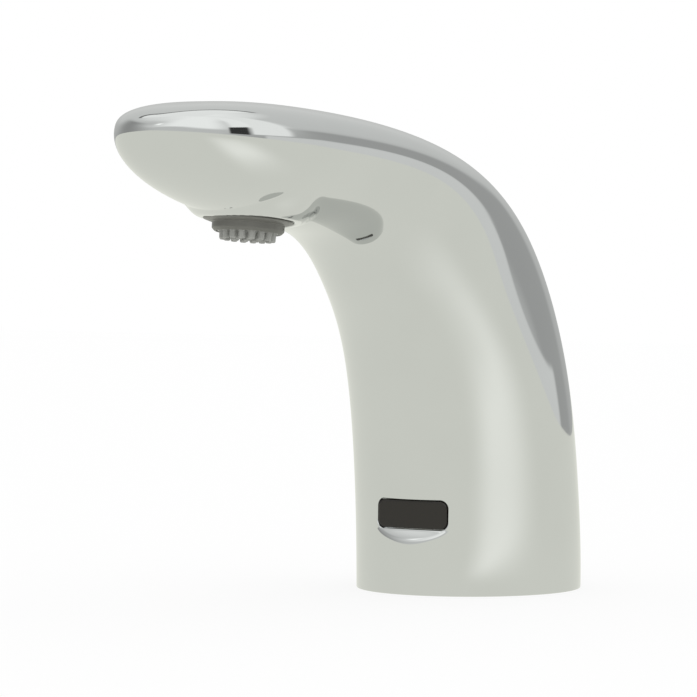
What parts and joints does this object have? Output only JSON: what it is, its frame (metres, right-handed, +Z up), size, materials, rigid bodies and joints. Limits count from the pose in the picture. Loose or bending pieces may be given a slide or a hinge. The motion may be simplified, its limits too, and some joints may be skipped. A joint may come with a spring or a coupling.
{
  "type": "sensor tap",
  "caption": "Deck-standing chrome basin tap with a curved cast spout, an infrared sensor window at its foot, a solenoid valve inside and a screw-in spray outlet.",
  "frame": {"origin": "centre of the casting's foot, on the deck", "axes": "+Z up, the spout points to -Y, +X to the right when facing +Y"},
  "size_m": [0.058, 0.1631, 0.1215],
  "materials": {
    "chrome_casting": "polished chrome plate on cast brass",
    "dark_window": "infrared-clear dark plate, glossy",
    "black_rubber": "matt black rubber",
    "black_plastic": "moulded black plastic",
    "board_green": "printed circuit board",
    "lens_clear": "clear moulded lens",
    "lens_dark": "dark moulded lens",
    "steel_sheet": "zinc-plated steel sheet",
    "steel_screw": "stainless screws",
    "brass_part": "machined brass",
    "steel_mesh": "stainless mesh",
    "lead_sheath": "black cable sheath",
    "white_plastic": "natural acetal",
    "spring_steel": "spring steel",
    "plunger_steel": "ground magnetic stainless",
    "copper_wire": "enamelled copper winding",
    "tube_plastic": "cross-linked polyethylene",
    "olive_plastic": "moulded grey-olive plastic",
    "olive_silicone": "soft grey-olive silicone"
  },
  "bodies": {
    "tap": {"spout_shell": "chrome_casting", "sensor_window": "dark_window", "sensor_gasket": "black_rubber", "sensor_housing": "black_plastic", "sensor_board": "board_green", "ir_emitter": "lens_clear", "ir_receiver": "lens_dark", "sensor_bracket": "steel_sheet", "bracket_screw": "steel_screw", "base_plate": "brass_part", "base_gasket": "black_rubber", "base_plate_screws": "steel_screw", "inlet_fitting": "brass_part", "inlet_filter": "steel_mesh", "cable_grommet": "black_rubber", "sensor_lead": "lead_sheath", "valve_body": "brass_part", "gallery_plug": "brass_part", "check_valve_housing": "white_plastic", "check_valve_spring": "spring_steel", "diaphragm": "black_rubber", "valve_bonnet": "black_plastic", "bonnet_screws": "steel_screw", "plunger_spring": "spring_steel", "fixed_core": "plunger_steel", "coil_bobbin": "black_plastic", "coil_winding": "copper_wire", "solenoid_yoke": "steel_sheet", "coil_retainer": "spring_steel", "coil_lead": "lead_sheath", "outlet_tube": "tube_plastic", "tube_seals": "black_rubber"},
    "check_poppet": {"check_valve_poppet": "white_plastic"},
    "diaphragm_centre": {"diaphragm_insert": "white_plastic"},
    "plunger": {"plunger": "plunger_steel", "plunger_seal": "black_rubber"},
    "aerator_ring": {"aerator_washer": "black_rubber"},
    "aerator": {"aerator_housing": "olive_plastic", "nozzle_plate": "olive_silicone", "flow_straightener": "white_plastic", "flow_regulator": "white_plastic", "aerator_screen": "steel_mesh"}
  },
  "joints": [
    {"name": "plunger_slide", "type": "slide", "parent": "tap", "child": "plunger", "axis": [0, 0, 1], "range_m": [0, 0.0025], "stiffness_N_per_m": 120, "springref_m": -0.004, "deforming": ["plunger_spring"]},
    {"name": "diaphragm_lift", "type": "slide", "parent": "tap", "child": "diaphragm_centre", "axis": [0, 0, 1], "range_m": [0, 0.0015], "deforming": ["diaphragm"]},
    {"name": "check_valve_lift", "type": "slide", "parent": "tap", "child": "check_poppet", "axis": [0, 0, 1], "range_m": [0, 0.0015], "stiffness_N_per_m": 150, "springref_m": -0.003, "deforming": ["check_valve_spring"]},
    {"name": "aerator_travel", "type": "slide", "parent": "tap", "child": "aerator_ring", "axis": [0, -0.1219, -0.9925], "range_m": [0, 0.00564]},
    {"name": "aerator_turn", "type": "hinge", "parent": "aerator_ring", "child": "aerator", "pos_m": [0, -0.096, 0.0938], "axis": [0, -0.1219, -0.9925], "range_deg": [0, 2160]}
  ],
  "couplings": [
    {"joint": "diaphragm_lift", "follows": "plunger_slide", "ratio": 0.6},
    {"joint": "aerator_turn", "follows": "aerator_travel", "rad_per_m": 6684.2}
  ]
}
